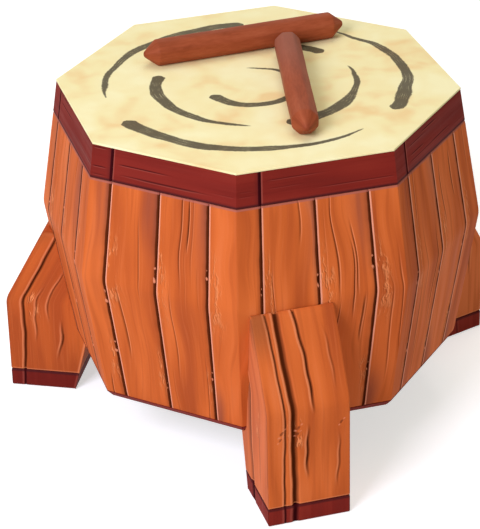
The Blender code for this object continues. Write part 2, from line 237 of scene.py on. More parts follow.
def board_tree(crack):
    """A board bent round the barrel. Its section is a line of points: outer radius, inner radius,
    height, from the top down. Its outer face is worked in a fine grid, and its edges are eased."""
    tree, given, made = new_group("bent_board", "GeometryNodeTree", (
        ("Section", "Geometry"), ("Side", "Int"), ("First Share", "Float"), ("Share Span", "Float"),
        ("Face Columns", "Int", 81), ("Back Columns", "Int", 21), ("Side Width", "Float"),
        ("Arris", "Float"), ("Wander", "Float"), ("Crack Depth", "Float"), ("Crack Share", "Float"),
        ("Crack Length", "Float"), ("Crack Low", "Float"), ("Crack High", "Float"),
        ("Grain Upright", "Bool", True), ("Worked Below", "Float", 1.0), ("Chip Depth", "Float"),
        ("Seed", "Int"), ("Axis", "Vector"), ("Face Finish", "Material"), ("Back Finish", "Material")),
        (("Board", "Geometry"),))

    # One ring of points for each point of the section, outer face first
    rows = out(add_node(tree, "GeometryNodeAttributeDomainSize", given["Section"], component="MESH"))
    ring_size = given["Face Columns"] + given["Back Columns"]
    tube = out(add_node(tree, "GeometryNodeMeshCylinder", ring_size, rows - 1, fill_type="NGON"))
    index = out(add_node(tree, "GeometryNodeInputIndex"))
    row = calc("FLOOR", (index + 0.5) / ring_size)
    column = calc("ROUND", index - row * ring_size)
    spot = out(add_node(tree, "GeometryNodeInputPosition"))
    sample = add_node(tree, "GeometryNodeSampleIndex", given["Section"], spot, row,
                      data_type="FLOAT_VECTOR", domain="POINT")
    outer, inner, height = parts(out(sample))
    on_face = column < given["Face Columns"]
    face_part = column / (given["Face Columns"] - 1)
    back_part = (column - given["Face Columns"]) / (given["Back Columns"] - 1)
    across = mix(on_face, 1 - back_part, face_part)
    share = across * given["Share Span"] + given["First Share"]
    width = given["Share Span"] * given["Side Width"]
    from_left = across * width
    from_right = width - from_left
    worked = on_face * (height < given["Worked Below"])

    # The grain lines drift together, but not at the edges nor over the barrel's corner
    piece = given["Seed"] * 3.7
    flow = noise(join(from_left * 14, height * 7.5, piece), detail=1.0)
    from_corner = abs(share - 1) * given["Side Width"]
    free = (ramp_to(from_corner, 0.0, 0.006) * ramp_to(from_left, 0.0040, 0.0160)
            * ramp_to(from_right, 0.0040, 0.0160))
    drift = (flow - 0.5) * given["Wander"] * free * worked
    share = share + drift / given["Side Width"]

    # Cracks run along whole grain lines, each with a painted highlight on its lip, the line after it, and
    # a dip before it that is also painted darker as shade
    line = mix(given["Grain Upright"], row, column)
    along = mix(given["Grain Upright"], from_left, height)
    opened = []
    for step in (0, 1, -1):
        laid = use_group(crack, Line=line - step, Along=along, Low=given["Crack Low"],
                         High=given["Crack High"], Share=given["Crack Share"],
                         Length=given["Crack Length"], Seed=given["Seed"])
        opened.append(laid["Open"] * free * worked)
    open_here, lip, shaded = opened
    open_here = larger(open_here, shaded * 0.45)

    # Chips in the right-hand edge, one about the bulge and one lower down, with a torn end above and below
    holes, torn = [], []
    seed = shifted_seed(given["Seed"], 4 * SEED_STEP)
    for number, low, high in ((1, 0.235, 0.31), (2, 0.12, 0.18)):
        place = draw_once(low, high, number, seed)
        large = draw_once(0.6, 1.15, number + 10, seed)
        up = (height - place) / large
        inwards = from_right / large
        for marks, level, beside, flat, start, end in ((holes, 0.0, 0.0, 0.5, 0.0038, 0.0014),
                                                       (torn, 0.0066, 0.0018, 0.7, 0.0019, 0.0005),
                                                       (torn, -0.0060, 0.0022, 0.7, 0.0025, 0.0008)):
            marks.append(ramp_to(length(inwards - beside, (up - level) * flat), start, end))
    chip = larger(*holes) * worked
    tear = larger(*torn) * worked

    # Depth taken off the face: eased edges, plane marks, cracks and chips
    ragged = noise(join(across * 6, height * 70, piece))
    arris = given["Arris"] * (ragged * 0.9 + 0.6)
    edge = larger(1 - calc("MINIMUM", from_left, from_right) / arris, 0)
    fall = 1 - calc("SQRT", 1 - edge * edge)
    hewn = noise(join(from_left * 60, height * 9, piece))
    depth = arris * fall + hewn * 0.0005 + open_here * given["Crack Depth"] + chip * given["Chip Depth"]
    radius = mix(on_face, inner, outer - depth * worked)

    # Fold the board round the barrel's corners
    side_step = calc("FLOOR", share + 0.00001)
    part = share - side_step
    turn = (side_step + given["Side"] - 0.5) * SIDE_ANGLE
    ends = [join(calc("COSINE", angle), calc("SINE", angle), 0.0) for angle in (turn, turn + SIDE_ANGLE)]
    level = vector_sum("SCALE", mix(part, *ends, "VECTOR"), radius)
    level = vector_sum("ADD", level, given["Axis"])
    place = vector_sum("ADD", level, join(0.0, 0.0, height))
    board = out(add_node(tree, "GeometryNodeSetPosition", tube, None, place))

    # What the finish reads: distances from the edges and height, wear with the painted highlight on crack
    # lips, and a draw for each board
    tone = [draw_once(0.0, 1.0, number, given["Seed"]) for number in range(3)]
    for name, value in (("edges", join(from_left, from_right, height)),
                        ("wear", join(open_here, lip, chip - tear)),
                        ("tone", join(*tone))):
        board = out(add_node(tree, "GeometryNodeStoreNamedAttribute", board, None, name, value,
                             data_type="FLOAT_VECTOR", domain="POINT"))
    board = out(add_node(tree, "GeometryNodeSetShadeSmooth", board, domain="FACE"))
    bend = out(add_node(tree, "GeometryNodeInputMeshEdgeAngle")) > math.radians(40)
    board = out(add_node(tree, "GeometryNodeSetShadeSmooth", board, bend, False, domain="EDGE"))
    board = out(add_node(tree, "GeometryNodeRealizeInstances", board))
    board = out(add_node(tree, "GeometryNodeSetMaterial", board, None, given["Back Finish"]))
    board = out(add_node(tree, "GeometryNodeSetMaterial", board, worked > 0.5, given["Face Finish"]))
    set_input(made["Board"], board)
    return tree


def barrel_radius(height, inset=0.0):
    """Radius of the barrel's corner line at a height, with the eased bend at the bulge."""
    low, high = BULGE[0] - BEND_LENGTH / 2, BULGE[0] + BEND_LENGTH / 2
    straight = [BARREL_FOOT, BULGE, BAND_FOOT if inset == 0 else BARREL_RIM]
    sharp = [float(np.interp(each, *zip(*straight))) for each in (low, high)]
    line = [FOOT_EDGE, BARREL_FOOT]
    for step in range(BEND_STEPS + 1):
        t = step / BEND_STEPS
        at = (Vector((low, sharp[0])) * (1 - t) ** 2 + Vector(BULGE) * 2 * t * (1 - t)
              + Vector((high, sharp[1])) * t ** 2)
        line.append(tuple(at))
    line += [BAND_FOOT, BARREL_RIM] if inset == 0 else [BARREL_RIM]
    return float(np.interp(height, *zip(*line))) - inset


def eased_end(height, radius, turn, arris):
    """Points of a rounded edge at the end of a face: turn is 1 at its top and -1 at its foot."""
    steps = (0.0, 0.293, 1.0) if turn > 0 else (1.0, 0.293, 0.0)
    return [(radius - arris * (1 - math.sqrt(1 - (1 - step) ** 2)), height - turn * arris * step)
            for step in steps]


def plain_mesh(name, points, faces=(), lines=(), **kept):
    """A mesh that also keeps vectors at its points, under the names by which its finish reads them."""
    mesh = bpy.data.meshes.new(name)
    mesh.from_pydata(points, lines, faces)
    for attribute, values in kept.items():
        layer = mesh.attributes.new(attribute, "FLOAT_VECTOR", "POINT")
        layer.data.foreach_set("vector", np.array(values, np.float32).ravel())
    return mesh


def section_mesh(name, rows):
    """The board's section as a line of points that its tree reads."""
    return plain_mesh(name, rows, lines=[(i, i + 1) for i in range(len(rows) - 1)])


def make_board(tree, name, section, **sizes):
    """A plain mesh of one board, made by its tree and then freed from it."""
    blank = add_object(name, section)
    shaping = blank.modifiers.new("shape", "NODES")
    shaping.node_group = tree
    for socket in tree.interface.items_tree:
        key = socket.name.replace(" ", "_") if socket.item_type == "SOCKET" else None
        if key in sizes:
            shaping[socket.identifier] = sizes[key]
    mesh = applied(blank)
    mesh.name = name
    bpy.data.objects.remove(blank)
    return add_object(name, mesh)


def add_object(name, data):
    made = bpy.data.objects.new(name, data)
    bpy.context.scene.collection.objects.link(made)
    return made


def applied(made):
    """A plain mesh of an object as its modifiers leave it."""
    bpy.context.view_layer.update()
    return bpy.data.meshes.new_from_object(made.evaluated_get(bpy.context.evaluated_depsgraph_get()))


def dress(solid, finish):
    solid.data.materials.clear()
    solid.data.materials.append(finish)


def heading(bearing):
    """A level direction, by its bearing in degrees."""
    return Vector((math.cos(math.radians(bearing)), math.sin(math.radians(bearing)), 0))


def bore(piece, node, direction, inwards=0.0):
    """Cut a hole for a peg or dowel, a clearance wider than it, which may run on at its inner end."""
    work = bmesh.new()
    work.from_mesh(solids[node].data)
    bmesh.ops.remove_doubles(work, verts=work.verts[:], dist=0.00001)
    work.normal_update()
    middle = sum((vert.co for vert in work.verts), Vector()) / len(work.verts)
    for vert in work.verts:
        side = (vert.co - middle).dot(direction)
        from_line = (vert.co - middle) - direction * side
        vert.co += from_line.normalized() * CLEARANCE + direction * math.copysign(CLEARANCE, side)
        if side < 0:
            vert.co -= direction * inwards
    mesh = bpy.data.meshes.new("bore")
    work.to_mesh(mesh)
    work.free()
    apply_cut(piece, add_object("bore", mesh))


def apply_cut(piece, tool):
    """Cut the tool out of the piece, whose points keep what the finish reads."""
    hole = piece.modifiers.new("cut", "BOOLEAN")
    hole.operation = "DIFFERENCE"
    hole.solver = "MANIFOLD"
    hole.object = tool
    piece.data = applied(piece)
    piece.modifiers.remove(hole)
    bpy.data.objects.remove(tool)


GRAIN_PLACE = (("Across", "Float"), ("Along", "Float"), ("Piece", "Float"))


def figure_group():
    """The wood's figure at a point across and along its grain: broad tone, dark streaks, fibre."""
    tree, given, made = new_group("wood_figure", "ShaderNodeTree", GRAIN_PLACE, (
        ("Broad", "Float"), ("Streak", "Float"), ("Fibre", "Float")))
    piece = given["Piece"] * 40
    for name, fine, long, contrast in (("Broad", 40, 6.0, 1.1), ("Streak", 150, 7, 1.7),
                                       ("Fibre", 420, 12, 1.5)):
        grain = noise(join(given["Across"] * fine, given["Along"] * long, piece), detail=1.0)
        set_input(made[name], (grain - 0.5) * contrast + 0.5)
    return tree


def frayed_group():
    """Torn fibres at a point across and along the grain: raised and light, each with its own shade."""
    tree, given, made = new_group("frayed_fibres", "ShaderNodeTree", GRAIN_PLACE, (
        ("Raised", "Float"), ("Shade", "Float")))
    for name, aside, above in (("Raised", 0.0, 0.0), ("Shade", 0.0011, 0.0009)):
        across = given["Across"] + aside
        along = given["Along"] + above
        bend = noise(join(across * 90, along * 120, given["Piece"]))
        across = bend * 0.005 + across
        fibre = noise(join(across * 400, along * 55, given["Piece"]), detail=3.0, rough=0.65)
        tuft = noise(join(across * 70, along * 30, given["Piece"] + 5))
        set_input(made[name], ramp_to(fibre, 0.50, 0.60) * ramp_to(tuft, 0.45, 0.55))
    return tree


def paint(colour, tint, share):
    """A colour with a tint laid over it, all of it where the share is 1."""
    return mix(share, colour, (*tint, 1), "RGBA")


def colour_ramp(value, stops):
    node = add_node(value.tree, "ShaderNodeValToRGB", value)
    ramp = node.color_ramp
    while len(ramp.elements) < len(stops):
        ramp.elements.new(0.5)
    for element, (position, colour) in zip(ramp.elements, stops):
        element.position = position
        element.color = (*colour, 1)
    return out(node)


def new_material(name, roughness, specular=0.15):
    """A material with its tree and its one shader."""
    made = bpy.data.materials.new(name)
    made.use_nodes = True
    shader = made.node_tree.nodes["Principled BSDF"]
    shader.inputs["Roughness"].default_value = roughness
    shader.inputs["Specular IOR Level"].default_value = specular
    return made, made.node_tree, shader


def finish_shader(shader, colour, relief, depth):
    bump = add_node(relief.tree, "ShaderNodeBump", 1.0, depth, None, relief)
    set_input(shader.inputs["Base Color"], colour)
    set_input(shader.inputs["Normal"], out(bump))


def read(tree, name):
    """The three numbers that a piece keeps under a name at each of its points."""
    kept = outputs(add_node(tree, "ShaderNodeAttribute", attribute_name=name))
    return parts(kept["Vector"])


def patch(away, none, full, height, foot, low, high, top):
    """1 on a patch of a board, fading out sideways by distance and up and down by height."""
    return ramp_to(away, none, full) * ramp_to(height, foot, low) * ramp_to(height, top, high)


def stained_wood(name, kind, stops, crack_colour, lip_highlight_colour, edge_highlight_colour, roughness):
    """Stained and worn wood on a stave, band or block, with painted highlights and painted shade at its
    edges and cracks: it reads their edges, wear and lip highlights, and tone. It comes with its shader
    and colour, to be painted over."""
    made, tree, shader = new_material(name, roughness, 0.12)
    from_left, from_right, height = read(tree, "edges")
    cracked, lip_highlight, chipped = read(tree, "wear")
    piece, lightness, dark_patches = read(tree, "tone")
    across, along = (height, from_left) if kind == "band" else (from_left, height)
    figure = use_group(FIGURE, Across=across, Along=along, Piece=piece)
    # A board's tone draw sets how light it is: at random on staves and bands, and on the side legs set to
    # paint light and shade
    colour = colour_ramp((lightness - 0.5) * 0.18 + figure["Broad"], stops)
    colour = paint(colour, stops[0][1], ramp_to(figure["Streak"], 0.55, 0.80) * 0.36)
    colour = paint(colour, stops[-1][1], ramp_to(figure["Fibre"], 0.45, 0.15) * 0.18)
    if kind == "stave":
        # Darker patches on some staves: at the top by the right-hand joint, under the band, and low by the
        # left-hand joint
        upper = (ramp_to(from_right, 0.028, 0.002) * ramp_to(height, 0.265, 0.370)
                 * ramp_to(dark_patches, 0.25, 0.6, 0.1, 0.85) * ramp_to(figure["Streak"], 0.15, 0.75, 0.5, 1.0))
        lower = (ramp_to(from_left, 0.022, 0.003) * ramp_to(height, 0.165, 0.100)
                 * ramp_to(dark_patches, 0.7, 0.35, 0.0, 0.75))
        colour = paint(colour, DARK_PATCH_COLOUR, larger(upper, lower))
        near = larger(patch(from_left, 0.026, 0.006, height, 0.20, 0.27, 0.30, 0.345),
                      patch(from_right, 0.016, 0.004, height, 0.10, 0.13, 0.16, 0.19))
    elif kind == "block":
        near = patch(abs(from_left - GROOVE_ACROSS), 0.014, 0.006, height, 0.090, 0.110, 0.135, 0.150)
    if kind != "band":
        frayed = use_group(FRAYED, Across=across, Along=along, Piece=piece)
        for side, strength, tint in (("Shade", 0.6, crack_colour), ("Raised", 1.0, FRAY_COLOUR)):
            colour = paint(colour, tint, frayed[side] * near * strength)
    # A painted highlight along each crack's lip
    colour = paint(colour, lip_highlight_colour, ramp_to(lip_highlight, 0.0, 0.6) * 0.7)
    colour = paint(colour, crack_colour, ramp_to(cracked, 0.0, 0.55) * 0.62)
    deep = tuple(0.55 * value for value in crack_colour)
    colour = paint(colour, deep, ramp_to(cracked, 0.50, 1.0, 0.0, 0.9))
    dull = cracked
    if kind != "block":
        ragged = noise(join(along * 38, piece, 0.0)) * 0.9 + 0.55
        # Painted shade fading out over the wood beside each right-hand joint
        colour = paint(colour, crack_colour, ramp_to(from_right / ragged, 0.009, 0.001) * 0.45)
        # A painted highlight along each board's left edge
        colour = paint(colour, edge_highlight_colour, ramp_to(from_left, 0.0030, 0.0020) * 0.9)
        dark = larger(ramp_to(from_left / ragged, 0.0011, 0.0005),
                      ramp_to(from_right / ragged, 0.0038, 0.0024))
        colour = paint(colour, crack_colour, dark)
        dull = larger(dark, dull)
    jagged = noise(join(across * 500, along * 350, piece), detail=1.0)
    chip = chipped * (jagged * 2.0 + 0.1)
    strength = 0.6 if kind == "block" else 0.85
    colour = paint(colour, CHIP_COLOUR, ramp_to(chip, -0.15, -0.75, 0.0, strength))
    colour = paint(colour, crack_colour, ramp_to(chip, 0.15, 0.75, 0.0, strength))
    set_input(shader.inputs["Specular IOR Level"], (1.0 - dull) * 0.12)
    set_input(shader.inputs["Roughness"], figure["Streak"] * 0.2 + (roughness - 0.1))
    finish_shader(shader, colour, figure["Streak"], 0.0002)
    return made, shader, colour


FIGURE = figure_group()
FRAYED = frayed_group()
STAVE_STOPS = (
    (0.18, (0.42, 0.076, 0.015)), (0.42, (0.56, 0.112, 0.020)), (0.62, (0.66, 0.142, 0.028)),
    (0.86, (0.72, 0.182, 0.054)))
CRACK_COLOUR = (0.095, 0.018, 0.005)
# Colour of the painted highlight along crack lips and at the leg's foot
LIP_HIGHLIGHT_COLOUR = (0.80, 0.25, 0.10)
# Colour of the painted highlight along each board's left edge
EDGE_HIGHLIGHT_COLOUR = (0.86, 0.34, 0.21)
DARK_PATCH_COLOUR = (0.27, 0.066, 0.038)
FRAY_COLOUR = (0.82, 0.26, 0.09)
CHIP_COLOUR = (0.80, 0.27, 0.14)
UNDER_BAND_HIGHLIGHT_COLOUR = (0.42, 0.12, 0.085)
GROOVE_ACROSS = 0.034
ORANGE_STAIN = (STAVE_STOPS, CRACK_COLOUR, LIP_HIGHLIGHT_COLOUR, EDGE_HIGHLIGHT_COLOUR, 0.68)
stave_wood, shader, colour = stained_wood("stave_wood", "stave", *ORANGE_STAIN)
height = read(colour.tree, "edges")[2]
# A painted highlight along the stave's top edge, just under the rim band
under_band_highlight = ramp_to(height, BAND_FOOT[0] - 0.0030, BAND_FOOT[0] - 0.0018)
colour = paint(colour, UNDER_BAND_HIGHLIGHT_COLOUR, under_band_highlight * 0.8)
set_input(shader.inputs["Base Color"], colour)


def along_axes(tree, scale=(1, 1, 1)):
    """A place on an object by its own axes, each of them scaled."""
    where = outputs(add_node(tree, "ShaderNodeTexCoord"))["Object"]
    return out(add_node(tree, "ShaderNodeMapping", where, None, None, scale))


def bare_wood(name, dark, light, grain, roughness=0.7):
    """Bare wood that isn't stained: its figure runs along the object's own axes."""
    made, tree, shader = new_material(name, roughness)
    where = along_axes(tree, grain)
    fine = noise(where, 9.0)
    figure = fine * 0.35 + noise(where, detail=3.0) * 0.65
    colour = colour_ramp(figure, ((0.3, dark), (0.7, light)))
    finish_shader(shader, colour, fine, 0.0003)
    return made


inner_wood = bare_wood("inner_wood", (0.24, 0.12, 0.05), (0.52, 0.32, 0.16), (60, 60, 6))

BOARD = board_tree(crack_tree())
seat = BAND_WALL + CLEARANCE / FLAT
top, foot = BAND_FOOT[0], BARREL_FOOT[0] + CLEARANCE
rows = [(BARREL_RIM[1] - seat, BARREL_RIM[0]), (BAND_FOOT[1] - seat, BAND_FOOT[0] + 0.00001)]
rows += eased_end(top, BAND_FOOT[1], 1, STAVE_ARRIS)
rows += [(barrel_radius(z), z) for z in np.arange(top - STAVE_ARRIS - STAVE_ROW, foot + 0.004, -STAVE_ROW)]
rows += eased_end(foot, BARREL_FOOT[1], -1, STAVE_ARRIS)
stave_section = [(radius, barrel_radius(height, STAVE_WALL), height) for radius, height in rows]
for number in range(24):
    side, third = divmod(number, STAVES_PER_SIDE)
    node = f"stave_{number + 1:02d}"
    stave = make_board(
        BOARD, "planed_" + node, section_mesh("stave_section", stave_section), Side=side, Face_Columns=65,
        First_Share=JOINT_LEAD + third / STAVES_PER_SIDE, Share_Span=1 / STAVES_PER_SIDE,
        Side_Width=SIDE_WIDTH, Arris=STAVE_ARRIS, Wander=0.030, Crack_Depth=0.0013, Crack_Share=0.13,
        Crack_Length=0.105, Crack_Low=foot, Crack_High=top, Worked_Below=top + 0.000005,
        Chip_Depth=0.0024, Seed=number + 11, Axis=axis, Face_Finish=stave_wood, Back_Finish=inner_wood)
    if node in PEGGED_STAVES:
        leg = PEGGED_STAVES[node]
        for row in ("lower", "upper"):
            bore(stave, f"leg_peg_{leg}_{row}", heading(LEG_BEARINGS[leg]), BORE_OVERRUN)
    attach(stave, "drum")
    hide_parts(node)

# Base hoops
# Eight mitred lengths of red wood close the barrel's foot. Each has a chamfer that shows below the
# staves, and a lip glued inside them.


def striped_wood(name, stops, stripe_colour, roughness):
    """Red wood whose streaks run level round the drum."""
    made, tree, shader = new_material(name, roughness)
    where = along_axes(tree, (5, 5, 60))
    fine = noise(where, 7.0, 1.0)
    colour = paint(colour_ramp(noise(where), stops), stripe_colour, ramp_to(fine, 0.56, 0.70) * 0.45)
    finish_shader(shader, colour, fine, 0.0002)
    return made


RED_STOPS = ((0.20, (0.150, 0.010, 0.006)), (0.50, (0.200, 0.014, 0.008)), (0.85, (0.245, 0.022, 0.012)))
RED_STRIPE = (0.105, 0.008, 0.007)
hoop_red = striped_wood("hoop_red", RED_STOPS, RED_STRIPE, 0.7)
for number in range(1, 9):
    dress(solids[f"base_hoop_{number}"], hoop_red)

# Head hoop, pegs and dowels
# A ring of bare wood stiffens the stave ends under the hide. Round pegs hold each leg to its stave
# from inside the barrel, and a dowel holds each leg to its shoe.
peg_wood = bare_wood("peg_wood", (0.20, 0.10, 0.045), (0.46, 0.27, 0.13), (90, 90, 40), 0.65)
for node, solid in solids.items():
    if node == "head_hoop" or node.startswith(("leg_peg", "shoe_dowel")):
        dress(solid, inner_wood if node == "head_hoop" else peg_wood)

# Rim bands
# Eight lengths of red wood are let into the rebate round the top and butt against each other a little
# past each corner. Their grain runs level, and their edges are worn, with a painted highlight along
# each left edge and each crack's lip, and a painted shadow along the foot.
BAND_ARRIS = 0.0010
BAND_ROW = 0.00082
BAND_SIDE_WIDTH = 0.193
RED_CRACK = (0.040, 0.004, 0.006)
RED_HIGHLIGHT = (0.30, 0.055, 0.038)
RED_STAIN = (RED_STOPS, RED_CRACK, RED_HIGHLIGHT, RED_HIGHLIGHT, 0.7)
band_red, shader, colour = stained_wood("band_red", "band", *RED_STAIN)
height = read(colour.tree, "edges")[2]
# A painted shadow along the band's foot, over the staves
band_foot_shadow = ramp_to(height, BAND_FOOT[0] + 0.0050, BAND_FOOT[0] + 0.0018)
colour = paint(colour, RED_CRACK, band_foot_shadow * 0.85)
set_input(shader.inputs["Base Color"], colour)
top, foot = BARREL_RIM[0], BAND_FOOT[0] + CLEARANCE
rows = eased_end(top, BARREL_RIM[1], 1, 0.0003)
rows += [(barrel_radius(z), z) for z in np.arange(top - 0.0015, foot + BAND_ARRIS + 0.0005, -BAND_ROW)]
rows += eased_end(foot, BAND_FOOT[1], -1, BAND_ARRIS)
band_section = [(radius, barrel_radius(height) - BAND_WALL, height) for radius, height in rows]
for side in range(8):
    node = f"rim_band_{side + 1}"
    band = make_board(
        BOARD, "worn_" + node, section_mesh("band_section", band_section), Side=side,
        First_Share=JOINT_LEAD, Share_Span=1.0, Face_Columns=161, Side_Width=BAND_SIDE_WIDTH,
        Arris=BAND_ARRIS, Crack_Depth=0.0004, Crack_Share=0.16, Crack_Length=0.085, Crack_High=0.19,
        Grain_Upright=False, Seed=side + 61, Axis=axis, Face_Finish=band_red, Back_Finish=inner_wood)
    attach(band, "drum")
    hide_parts(node)

# Legs
# Each leg is a stout block whose back is scribed to the barrel and whose face slopes up from a knee.
# Boards were glued up for the block, so joints and cracks follow its outline, and it is stained as the
# staves are.
LEG_WIDTH = 0.103
LEG_DEPTH = 0.107
LEG_FOOT_DEPTH = 0.086
LEG_LEAN = 0.021
LEG_LOW = 0.0243
LEG_KNEE = 0.158
LEG_TOP = 0.258
KNEE_ROUND = 0.008
LEG_ARRIS = 0.0016
LEG_ROW = 0.0030
FACE_COLUMNS = 97
SIDE_COLUMNS = 72
# Leg: step aside, reach of the barrel's foot, reach of the sloping face's top, drop, and its tone:
# which figure it has, how light it is, and how strong a painted sheen is on its sides. Its lightness is
# painted light and shade: the right leg is painted lighter where the barrel shades it, the left darker.
LEG_SEATS = {
    "front": (-0.0389, 0.2301, 0.2577, 0.0, (0.31, 0.56, 0.25)),
    "right": (0.0, 0.2412, 0.2729, 0.028, (0.77, 3.0, 0.0)),
    "left": (0.0, 0.2412, 0.2729, 0.028, (0.12, -0.90, 0.0))}
# Scored line: share across at the top, knee and foot; lowest and highest point; width; depth
FACE_LINES = (
    (0.165, 0.220, 0.200, 0.0, 0.30, 0.0030, 0.0014),
    (0.278, 0.318, 0.328, 0.0, 0.30, 0.0082, 0.0040),
    (0.505, 0.580, 0.600, 0.145, 0.30, 0.0042, 0.0012),
    (0.46, 0.49, 0.49, 0.056, 0.138, 0.0040, 0.0013),
    (0.80, 0.90, 0.93, 0.165, 0.245, 0.0030, 0.0005),
    (0.84, 0.88, 0.85, 0.036, 0.122, 0.0032, 0.0007))
SIDE_LINES = {
    "front": (
        (0.66, 0.66, 0.66, 0.0, 0.20, 0.0130, 0.0022),
        (0.30, 0.32, 0.31, 0.03, 0.13, 0.0040, 0.0006)),
    "right": (
        (0.47, 0.46, 0.46, 0.0, 0.085, 0.0034, 0.0006),
        (0.20, 0.22, 0.22, 0.11, 0.20, 0.0034, 0.0008),
        (0.70, 0.72, 0.72, 0.05, 0.115, 0.0034, 0.0010)),
    "left": (
        (0.21, 0.21, 0.21, 0.0, 0.30, 0.0046, 0.0024),
        (0.66, 0.68, 0.68, 0.070, 0.135, 0.0036, 0.0014),
        (0.40, 0.37, 0.37, 0.090, 0.185, 0.0028, 0.0008),
        (0.50, 0.53, 0.5, 0.12, 0.215, 0.0028, 0.0008))}
# Nick in a leg's face: share across, height, half height, depth
FACE_NICKS = (
    (0.378, 0.1320, 0.0036, 0.0018), (0.368, 0.1240, 0.0030, 0.0012),
    (0.175, 0.1280, 0.0038, 0.0012), (0.160, 0.1195, 0.0030, 0.0010),
    (0.895, 0.1310, 0.0030, 0.0010))


def leg_ring(height, foot_reach, top_reach, drop):
    """Reach of a leg's face and back at a height. Above the knee its back leans in beside its face."""
    face = foot_reach + LEG_FOOT_DEPTH
    above = height + drop - LEG_KNEE
    if abs(above) < KNEE_ROUND:
        above = (above + KNEE_ROUND) ** 2 / (4 * KNEE_ROUND)
    outer = face + (top_reach - face) * max(0.0, above) / (LEG_TOP - LEG_KNEE)
    if height < FOOT_EDGE[0] - 0.0001:
        return outer, foot_reach - LEG_LEAN * height / FOOT_EDGE[0]
    return outer, outer - LEG_DEPTH


def scored(lines, share, height, width):
    """How deep a board is scored at a place, how open it looks there, and how strong a painted highlight
    is just to its left.
    """
    depth = open_here = lip = 0.0
    for at_top, at_knee, at_foot, low, high, wide, deep in lines:
        taper = 1.0
        wave = 0.0004 * math.sin(height * 61 + at_top * 40)
        wave += 0.0002 * math.sin(height * 190 + at_foot * 30)
        if low > 0:
            taper = min(1.0, max(0.0, (height - low) / 0.03), max(0.0, (high - height) / 0.03))
            wave *= 2.8
        centre = float(np.interp(height, (LEG_LOW, LEG_KNEE, LEG_TOP), (at_foot, at_knee, at_top)))
        away = (share - centre) * width - wave
        here = max(0.0, 1 - max(-away, away * 0.7) * 2 / wide) * taper
        beside = max(0.0, 1 - abs(away + wide * 0.5 + 0.0006) / max(0.0022, wide * 0.3)) * taper
        strength = min(1.0, deep / 0.0012)
        depth = max(depth, deep * min(1.0, here * 1.5))
        open_here = max(open_here, min(1.0, here * 1.3) * strength)
        lip = max(lip, beside * strength)
    return depth, open_here, lip


def nicked(share, height):
    """How far into a nick a place on a leg's face is, below nothing on its torn ends, and its depth."""
    inside = depth = torn = 0.0
    for centre, level, reach, deep in FACE_NICKS:
        aside = (share - centre) * LEG_WIDTH - 0.45 * (height - level)
        near = max(0.0, 1 - math.hypot(aside * 1.6, height - level) / reach)
        inside = max(inside, min(1.0, near * 1.8))
        depth = max(depth, near * deep)
        for end in (1.35, -1.25):
            away = math.hypot(aside * 0.9 - 0.001 * end, height - level - reach * end)
            torn = max(torn, 1 - away / (reach * 0.62))
    return inside - torn, depth


def placed(middle, bearing):
    """Turned from +X to a bearing in degrees and moved to a middle."""
    return Matrix.Translation(middle) @ Matrix.Rotation(math.radians(bearing), 4, "Z")


def tube_faces(rows, ring):
    """Faces round a closed tube, whose points go round it row by row, and over its two ends."""
    faces = [tuple(reversed(range(ring))), tuple(range((rows - 1) * ring, rows * ring))]
    for low in range(0, (rows - 1) * ring, ring):
        for column in range(ring):
            after = (column + 1) % ring
            faces.append((low + column, low + after, low + ring + after, low + ring + column))
    return faces


def leg_block(name, heights, leg, score):
    """A block of a leg with its scored face and sides, as rings of points from its foot up."""
    aside, foot_reach, top_reach, drop, tone = LEG_SEATS[leg]
    low, high = heights[0], heights[-1]
    marks = []
    for height in heights:
        outer, inner = leg_ring(height, foot_reach, top_reach, drop)
        end = max(0.0, 1 - (height - low) / LEG_ARRIS) + max(0.0, 1 - (high - height) / LEG_ARRIS)
        end_fall = LEG_ARRIS * min(1.0, end) ** 2
        level = height + drop
        for column in range(FACE_COLUMNS):
            share = column / (FACE_COLUMNS - 1)
            edge = max(0.0, 1 - min(share, 1 - share) * LEG_WIDTH / LEG_ARRIS)
            depth, open_here, lip = scored(FACE_LINES, share, level, LEG_WIDTH)
            nick, nick_depth = nicked(share, level)
            fall = LEG_ARRIS * (1 - math.sqrt(1 - edge ** 2))
            reach = outer - (depth + nick_depth) * score - end_fall - fall
            marks.append(((reach, aside + (share - 0.5) * LEG_WIDTH, height),
                          (share * LEG_WIDTH, (1 - share) * LEG_WIDTH, height), (open_here, lip, nick)))
        for side in (1, -1):
            for column in range(1, SIDE_COLUMNS):
                share = column / SIDE_COLUMNS if side > 0 else 1 - column / SIDE_COLUMNS
                depth, open_here, lip = scored(SIDE_LINES[leg], share, level, LEG_DEPTH)
                # A painted highlight along the side's back edge
                lip = max(lip, 1 - (1 - share) * LEG_DEPTH / 0.0045)
                across = side * (LEG_WIDTH / 2 - depth * score - end_fall)
                marks.append(((outer + (inner - outer) * share, aside + across, height),
                              (share * (outer - inner), LEG_WIDTH, height), (open_here, lip, 0.0)))
            if side > 0:
                for corner in (1, -1):
                    marks.append(((inner, aside + corner * LEG_WIDTH / 2, height),
                                  (LEG_DEPTH, LEG_WIDTH, height), (0.0, 0.0, 0.0)))
    points, edges, wear = zip(*marks)
    faces = tube_faces(len(heights), len(points) // len(heights))
    mesh = plain_mesh(name, points, faces, edges=edges, wear=wear, tone=[tone] * len(points))
    mesh.transform(placed(axis, LEG_BEARINGS[leg]))
    return add_object(name, mesh)


def barrel_solid():
    """The barrel's outside a clearance larger, for scribing a leg to it."""
    heights = [0.0805, *np.arange(0.0895, BAND_FOOT[0], 0.004), BAND_FOOT[0]]
    points = []
    for height in heights:
        radius = barrel_radius(height) + CLEARANCE / FLAT
        for corner in range(8):
            angle = (corner + 0.5) * SIDE_ANGLE
            points.append((axis.x + radius * math.cos(angle), axis.y + radius * math.sin(angle), height))
    return plain_mesh("barrel_solid", points, tube_faces(len(heights), 8))


def finish_block(block, finish, node):
    block.data.shade_smooth()
    block.data.set_sharp_from_angle(angle=math.radians(35))
    dress(block, finish)
    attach(block, "drum")
    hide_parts(node)


